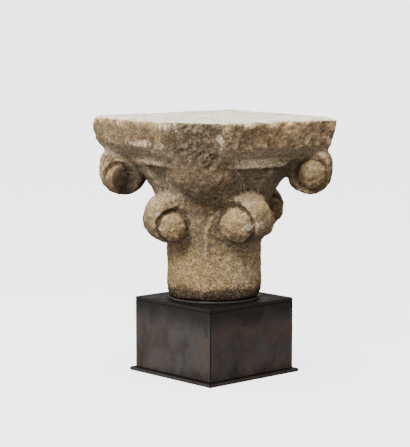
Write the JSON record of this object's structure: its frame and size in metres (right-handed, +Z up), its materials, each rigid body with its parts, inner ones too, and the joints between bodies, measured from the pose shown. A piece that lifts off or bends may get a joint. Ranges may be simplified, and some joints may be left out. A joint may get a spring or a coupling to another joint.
{
  "type": "stone volute capital",
  "caption": "Weathered limestone capital with ball-eyed corner and face volutes, one corner broken off, on a square patinated steel plinth.",
  "frame": {"origin": "middle of the plinth's underside, on the ground, below the middle of the abacus", "axes": "+Z up; the abacus's sides face +X, -X, +Y and -Y, and its broken corner is towards -X and -Y; the plinth is turned 7.4 degrees about +Z"},
  "size_m": [0.3322, 0.3336, 0.4679],
  "materials": {
    "limestone": "rough, weathered, warm grey-beige with brown shading and pale chips",
    "seat_steel": "dark satin steel with a bright worn rim",
    "plinth_steel": "dark patinated steel, satin, mottled brown and blue-grey",
    "plate_steel": "dark patinated steel, satin"
  },
  "bodies": {
    "root": {"stone_capital": "limestone", "seat_disc": "seat_steel", "plinth_box": "plinth_steel", "base_plate": "plate_steel"}
  },
  "joints": []
}
